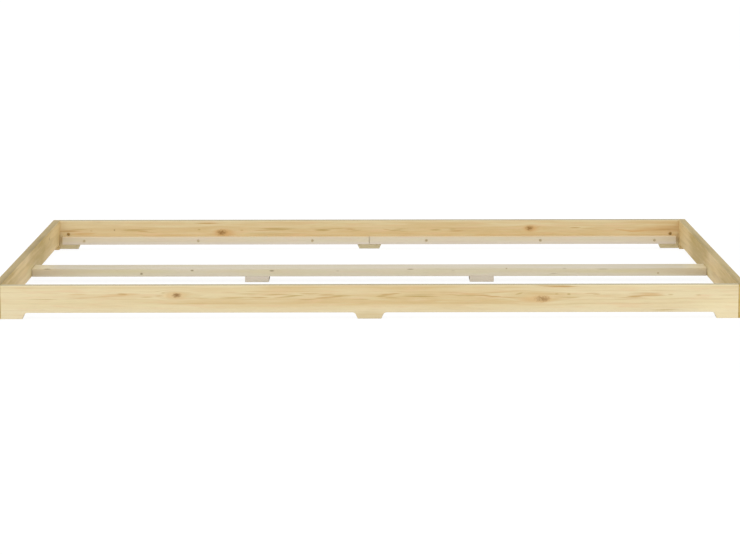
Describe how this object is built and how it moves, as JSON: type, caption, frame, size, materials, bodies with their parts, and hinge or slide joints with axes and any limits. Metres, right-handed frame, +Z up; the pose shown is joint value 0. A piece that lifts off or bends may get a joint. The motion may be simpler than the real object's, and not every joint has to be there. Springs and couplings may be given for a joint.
{
  "type": "futon bed frame",
  "caption": "Low rectangular pine bed frame on feet cut into its boards, with inner ledges and a flat centre rail that carry a slatted base or mats under a futon.",
  "frame": {"origin": "on the floor, under the middle of the bed", "axes": "+X along the bed to the right, +Y across it to the back long board, +Z up"},
  "size_m": [2.046, 1.446, 0.092],
  "materials": {
    "pine_board": "planed and sanded pine, clear satin lacquer",
    "raw_softwood_ledge": "planed softwood, unfinished",
    "raw_softwood_rail": "planed softwood, unfinished",
    "beech_dowel": "plain beech",
    "zinc_plated_screw": "yellow zinc plate",
    "zinc_plated_bolt": "bright zinc plate",
    "zinc_plated_nut": "yellow zinc plate, dulled"
  },
  "bodies": {
    "root": {"front_board": "pine_board", "back_board": "pine_board", "left_side_board": "pine_board", "right_side_board": "pine_board", "front_left_ledge": "raw_softwood_ledge", "front_left_ledge_screws": "zinc_plated_screw", "front_left_bolt": "zinc_plated_bolt", "front_left_barrel_nut": "zinc_plated_nut", "front_left_dowels": "beech_dowel", "front_right_ledge": "raw_softwood_ledge", "front_right_ledge_screws": "zinc_plated_screw", "front_right_bolt": "zinc_plated_bolt", "front_right_barrel_nut": "zinc_plated_nut", "front_right_dowels": "beech_dowel", "back_left_ledge": "raw_softwood_ledge", "back_left_ledge_screws": "zinc_plated_screw", "back_left_bolt": "zinc_plated_bolt", "back_left_barrel_nut": "zinc_plated_nut", "back_left_dowels": "beech_dowel", "back_right_ledge": "raw_softwood_ledge", "back_right_ledge_screws": "zinc_plated_screw", "back_right_bolt": "zinc_plated_bolt", "back_right_barrel_nut": "zinc_plated_nut", "back_right_dowels": "beech_dowel", "centre_rail": "raw_softwood_rail", "left_rail_foot": "raw_softwood_rail", "left_rail_foot_screws": "zinc_plated_screw", "left_rail_dowels": "beech_dowel", "right_rail_foot": "raw_softwood_rail", "right_rail_foot_screws": "zinc_plated_screw", "right_rail_dowels": "beech_dowel"}
  },
  "joints": []
}
